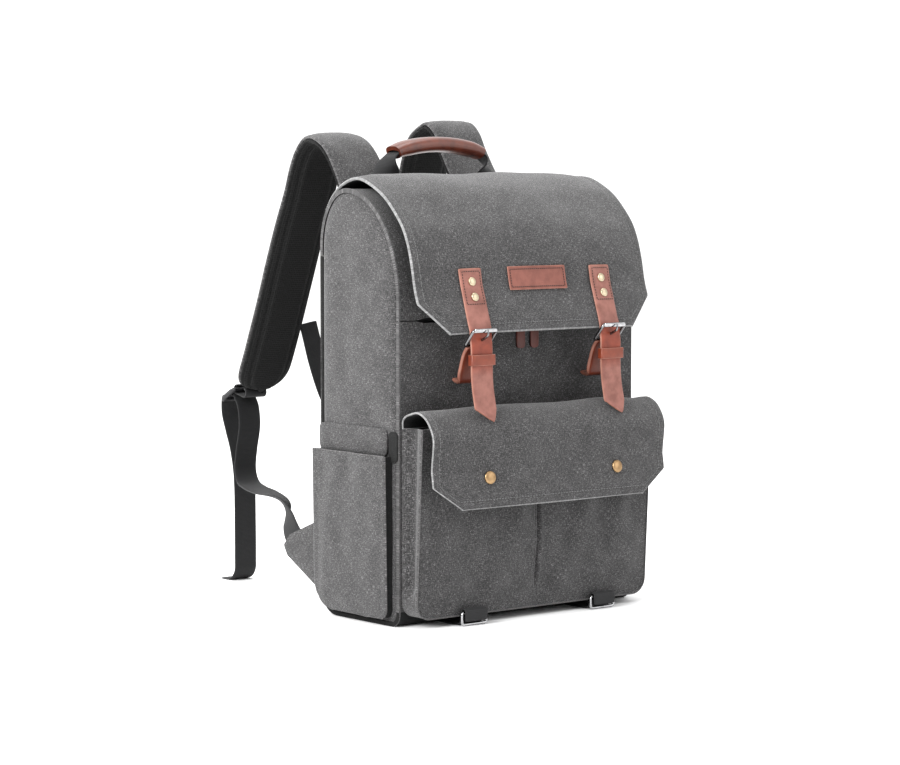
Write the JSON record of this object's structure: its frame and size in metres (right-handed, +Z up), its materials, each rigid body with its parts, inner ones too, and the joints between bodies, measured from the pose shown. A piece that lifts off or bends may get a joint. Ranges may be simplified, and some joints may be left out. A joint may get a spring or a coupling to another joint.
{
  "type": "camera backpack",
  "caption": "Canvas camera backpack with an arched top, a front flap closed by leather buckle straps, a bellows front pocket, side pockets, a carry handle and padded shoulder straps.",
  "frame": {"origin": "middle of the base's footprint, on the surface that the bag stands on", "axes": "+Z up; -Y out of the front with the flap and pocket; +X to the right of someone who faces the front"},
  "size_m": [0.31, 0.4194, 0.47],
  "materials": {
    "canvas": "mid-grey woven canvas with lighter flecks, matt, worn pale along its edges",
    "black_canvas": "black padded back and base cloth, matt",
    "leather": "tan leather, satin, pale highlights and worn edges",
    "brass": "antique brass, softly polished",
    "steel": "nickel-plated steel wire, polished",
    "webbing": "black nylon webbing with a fine cross rib",
    "mesh": "black spacer mesh over foam",
    "black_plastic": "black moulded plastic, fine texture"
  },
  "bodies": {
    "root": {"front_panel": "canvas", "top_panel": "canvas", "side_panel_left": "canvas", "side_panel_right": "canvas", "main_flap": "canvas", "pocket_front": "canvas", "pocket_gusset": "canvas", "pocket_flap": "canvas", "side_pocket_left": "canvas", "side_pocket_right": "canvas", "side_pocket_gusset_left": "black_canvas", "side_pocket_gusset_right": "black_canvas", "side_band_left": "canvas", "side_band_right": "canvas", "shoulder_cover_left": "canvas", "shoulder_cover_right": "canvas", "wing_tab_left": "canvas", "wing_tab_right": "canvas", "back_panel": "black_canvas", "base_panel": "black_canvas", "label": "leather", "zip_pull_left": "leather", "zip_pull_right": "leather", "closure_strap_left": "leather", "closure_strap_right": "leather", "strap_keeper_left": "leather", "strap_keeper_right": "leather", "anchor_strap_left": "leather", "anchor_strap_right": "leather", "handle_grip": "leather", "zip_slider_left": "brass", "zip_slider_right": "brass", "rivet_upper_left": "brass", "rivet_upper_right": "brass", "rivet_lower_left": "brass", "rivet_lower_right": "brass", "pocket_snap_left": "brass", "pocket_snap_right": "brass", "buckle_frame_left": "steel", "buckle_frame_right": "steel", "buckle_prong_left": "steel", "buckle_prong_right": "steel", "base_buckle_left": "steel", "base_buckle_right": "steel", "zip_tape": "webbing", "handle_webbing": "webbing", "adjuster_loop_left": "webbing", "adjuster_loop_right": "webbing", "webbing_left": "webbing", "webbing_right": "webbing", "sternum_webbing_left": "webbing", "sternum_webbing_right": "webbing", "base_strap_left": "webbing", "base_strap_right": "webbing", "shoulder_pad_left": "mesh", "shoulder_pad_right": "mesh", "adjuster_left": "black_plastic", "adjuster_right": "black_plastic", "sternum_buckle": "black_plastic"}
  },
  "joints": []
}
